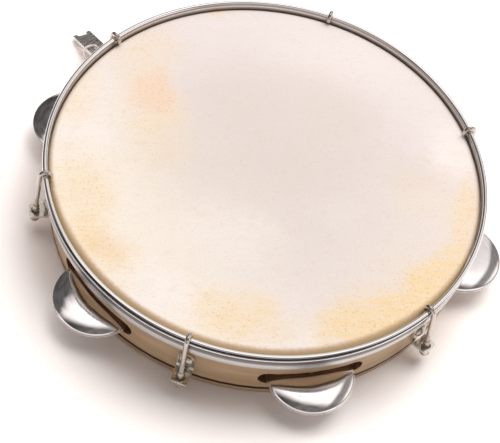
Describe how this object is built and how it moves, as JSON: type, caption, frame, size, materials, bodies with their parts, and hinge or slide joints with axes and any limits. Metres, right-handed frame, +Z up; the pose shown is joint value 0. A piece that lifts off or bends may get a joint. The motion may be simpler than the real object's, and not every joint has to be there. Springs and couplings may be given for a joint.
{
  "type": "tambourine",
  "caption": "Headed tambourine: plywood shell with slots of paired metal jingles, skin head under a chromed hoop held by wire hooks, and a tuning key on a clip.",
  "frame": {"origin": "centre of the outline, on the floor plane the shell stands on", "axes": "+Z up out of the playing face, -Y the side nearest the viewer, +X to the viewer's right"},
  "size_m": [0.343, 0.324, 0.0567],
  "materials": {
    "maple": "satin lacquer",
    "dark_wood": "satin lacquer",
    "hide": "dry natural skin",
    "chrome": "polished",
    "nickel": "bright nickel plate",
    "steel": "plain"
  },
  "bodies": {
    "drum": {"shell": "maple", "inlay_line": "dark_wood", "drumhead": "hide", "flesh_hoop": "steel", "counter_hoop": "chrome", "bracket_1": "nickel", "bracket_screw_1": "nickel", "bracket_2": "nickel", "bracket_screw_2": "nickel", "bracket_3": "nickel", "bracket_screw_3": "nickel", "bracket_4": "nickel", "bracket_screw_4": "nickel", "bracket_5": "nickel", "bracket_screw_5": "nickel", "bracket_6": "nickel", "bracket_screw_6": "nickel", "jingle_pin_1": "steel", "jingle_pin_2": "steel", "jingle_pin_3": "steel", "jingle_pin_4": "steel", "jingle_pin_5": "steel"},
    "hook_1": {"hook_1": "nickel"},
    "tension_nut_1": {"tension_nut_1": "nickel"},
    "hook_2": {"hook_2": "nickel"},
    "tension_nut_2": {"tension_nut_2": "nickel"},
    "hook_3": {"hook_3": "nickel"},
    "tension_nut_3": {"tension_nut_3": "nickel"},
    "hook_4": {"hook_4": "nickel"},
    "tension_nut_4": {"tension_nut_4": "nickel"},
    "hook_5": {"hook_5": "nickel"},
    "tension_nut_5": {"tension_nut_5": "nickel"},
    "hook_6": {"hook_6": "nickel"},
    "tension_nut_6": {"tension_nut_6": "nickel"},
    "jingle_lower_1": {"jingle_lower_1": "chrome"},
    "jingle_disc_1": {"jingle_disc_1": "steel"},
    "jingle_upper_1": {"jingle_upper_1": "chrome"},
    "jingle_lower_2": {"jingle_lower_2": "chrome"},
    "jingle_disc_2": {"jingle_disc_2": "steel"},
    "jingle_upper_2": {"jingle_upper_2": "chrome"},
    "jingle_lower_3": {"jingle_lower_3": "chrome"},
    "jingle_disc_3": {"jingle_disc_3": "steel"},
    "jingle_upper_3": {"jingle_upper_3": "chrome"},
    "jingle_lower_4": {"jingle_lower_4": "chrome"},
    "jingle_disc_4": {"jingle_disc_4": "steel"},
    "jingle_upper_4": {"jingle_upper_4": "chrome"},
    "jingle_lower_5": {"jingle_lower_5": "chrome"},
    "jingle_disc_5": {"jingle_disc_5": "steel"},
    "jingle_upper_5": {"jingle_upper_5": "chrome"},
    "key_clip": {"key_clip": "nickel"},
    "tuning_key": {"tuning_key": "nickel"}
  },
  "joints": [
    {"name": "nut_turn_1", "type": "hinge", "parent": "drum", "child": "tension_nut_1", "pos_m": [0.14041, 0.07057, 0.016], "axis": [0.0853, 0.0427, -0.9954], "range_deg": [0, 1080]},
    {"name": "hook_rise_1", "type": "slide", "parent": "drum", "child": "hook_1", "axis": [-0.0853, -0.0427, 0.9954], "range_m": [0, 0.0021]},
    {"name": "nut_turn_2", "type": "hinge", "parent": "drum", "child": "tension_nut_2", "pos_m": [0.02142, 0.15607, 0.016], "axis": [0.0133, 0.0945, -0.9954], "range_deg": [0, 1080]},
    {"name": "hook_rise_2", "type": "slide", "parent": "drum", "child": "hook_2", "axis": [-0.0133, -0.0945, 0.9954], "range_m": [0, 0.0021]},
    {"name": "nut_turn_3", "type": "hinge", "parent": "drum", "child": "tension_nut_3", "pos_m": [-0.13358, 0.08445, 0.016], "axis": [-0.0805, 0.0511, -0.9954], "range_deg": [0, 1080]},
    {"name": "hook_rise_3", "type": "slide", "parent": "drum", "child": "hook_3", "axis": [0.0805, -0.0511, 0.9954], "range_m": [0, 0.0021]},
    {"name": "nut_turn_4", "type": "hinge", "parent": "drum", "child": "tension_nut_4", "pos_m": [-0.14794, -0.05571, 0.016], "axis": [-0.0762, -0.0685, -0.9947], "range_deg": [0, 1080]},
    {"name": "hook_rise_4", "type": "slide", "parent": "drum", "child": "hook_4", "axis": [0.0762, 0.0685, 0.9947], "range_m": [0, 0.0021]},
    {"name": "nut_turn_5", "type": "hinge", "parent": "drum", "child": "tension_nut_5", "pos_m": [-0.02544, -0.15562, 0.016], "axis": [-0.0004, -0.0966, -0.9953], "range_deg": [0, 1080]},
    {"name": "hook_rise_5", "type": "slide", "parent": "drum", "child": "hook_5", "axis": [0.0004, 0.0966, 0.9953], "range_m": [0, 0.0021]},
    {"name": "nut_turn_6", "type": "hinge", "parent": "drum", "child": "tension_nut_6", "pos_m": [0.12699, -0.09263, 0.016], "axis": [0.0991, -0.0261, -0.9947], "range_deg": [0, 1080]},
    {"name": "hook_rise_6", "type": "slide", "parent": "drum", "child": "hook_6", "axis": [-0.0991, 0.0261, 0.9947], "range_m": [0, 0.0021]},
    {"name": "jingle_lift_1", "type": "slide", "parent": "drum", "child": "jingle_lower_1", "axis": [0, 0, 1], "range_m": [0, 0.0015]},
    {"name": "jingle_spin_1", "type": "hinge", "parent": "jingle_lower_1", "child": "jingle_disc_1", "pos_m": [0.14254, -0.01655, 0.017], "axis": [0, 0, 1], "continuous": true},
    {"name": "jingle_bounce_1", "type": "slide", "parent": "jingle_disc_1", "child": "jingle_upper_1", "axis": [0, 0, 1], "range_m": [0, 0.0015]},
    {"name": "jingle_lift_2", "type": "slide", "parent": "drum", "child": "jingle_lower_2", "axis": [0, 0, 1], "range_m": [0, 0.0015]},
    {"name": "jingle_spin_2", "type": "hinge", "parent": "jingle_lower_2", "child": "jingle_disc_2", "pos_m": [0.0546, -0.13304, 0.017], "axis": [0, 0, 1], "continuous": true},
    {"name": "jingle_bounce_2", "type": "slide", "parent": "jingle_disc_2", "child": "jingle_upper_2", "axis": [0, 0, 1], "range_m": [0, 0.0015]},
    {"name": "jingle_lift_3", "type": "slide", "parent": "drum", "child": "jingle_lower_3", "axis": [0, 0, 1], "range_m": [0, 0.0015]},
    {"name": "jingle_spin_3", "type": "hinge", "parent": "jingle_lower_3", "child": "jingle_disc_3", "pos_m": [-0.09015, -0.1127, 0.017], "axis": [0, 0, 1], "continuous": true},
    {"name": "jingle_bounce_3", "type": "slide", "parent": "jingle_disc_3", "child": "jingle_upper_3", "axis": [0, 0, 1], "range_m": [0, 0.0015]},
    {"name": "jingle_lift_4", "type": "slide", "parent": "drum", "child": "jingle_lower_4", "axis": [0, 0, 1], "range_m": [0, 0.0015]},
    {"name": "jingle_spin_4", "type": "hinge", "parent": "jingle_lower_4", "child": "jingle_disc_4", "pos_m": [-0.14253, 0.02377, 0.017], "axis": [0, 0, 1], "continuous": true},
    {"name": "jingle_bounce_4", "type": "slide", "parent": "jingle_disc_4", "child": "jingle_upper_4", "axis": [0, 0, 1], "range_m": [0, 0.0015]},
    {"name": "jingle_lift_5", "type": "slide", "parent": "drum", "child": "jingle_lower_5", "axis": [0, 0, 1], "range_m": [0, 0.0015]},
    {"name": "jingle_spin_5", "type": "hinge", "parent": "jingle_lower_5", "child": "jingle_disc_5", "pos_m": [-0.05562, 0.13304, 0.017], "axis": [0, 0, 1], "continuous": true},
    {"name": "jingle_bounce_5", "type": "slide", "parent": "jingle_disc_5", "child": "jingle_upper_5", "axis": [0, 0, 1], "range_m": [0, 0.0015]},
    {"name": "clip_swing", "type": "hinge", "parent": "drum", "child": "key_clip", "pos_m": [-0.13346, 0.08437, 0.0172], "axis": [0, 0, 1], "range_deg": [-20, 20]},
    {"name": "key_swing", "type": "hinge", "parent": "key_clip", "child": "tuning_key", "pos_m": [-0.14596, 0.10225, 0.0124], "axis": [0, 0, 1], "range_deg": [-20, 20]}
  ],
  "couplings": [
    {"joint": "nut_turn_1", "follows": "hook_rise_1", "rad_per_m": 8975.9},
    {"joint": "nut_turn_2", "follows": "hook_rise_2", "rad_per_m": 8975.9},
    {"joint": "nut_turn_3", "follows": "hook_rise_3", "rad_per_m": 8975.9},
    {"joint": "nut_turn_4", "follows": "hook_rise_4", "rad_per_m": 8975.9},
    {"joint": "nut_turn_5", "follows": "hook_rise_5", "rad_per_m": 8975.9},
    {"joint": "nut_turn_6", "follows": "hook_rise_6", "rad_per_m": 8975.9}
  ]
}
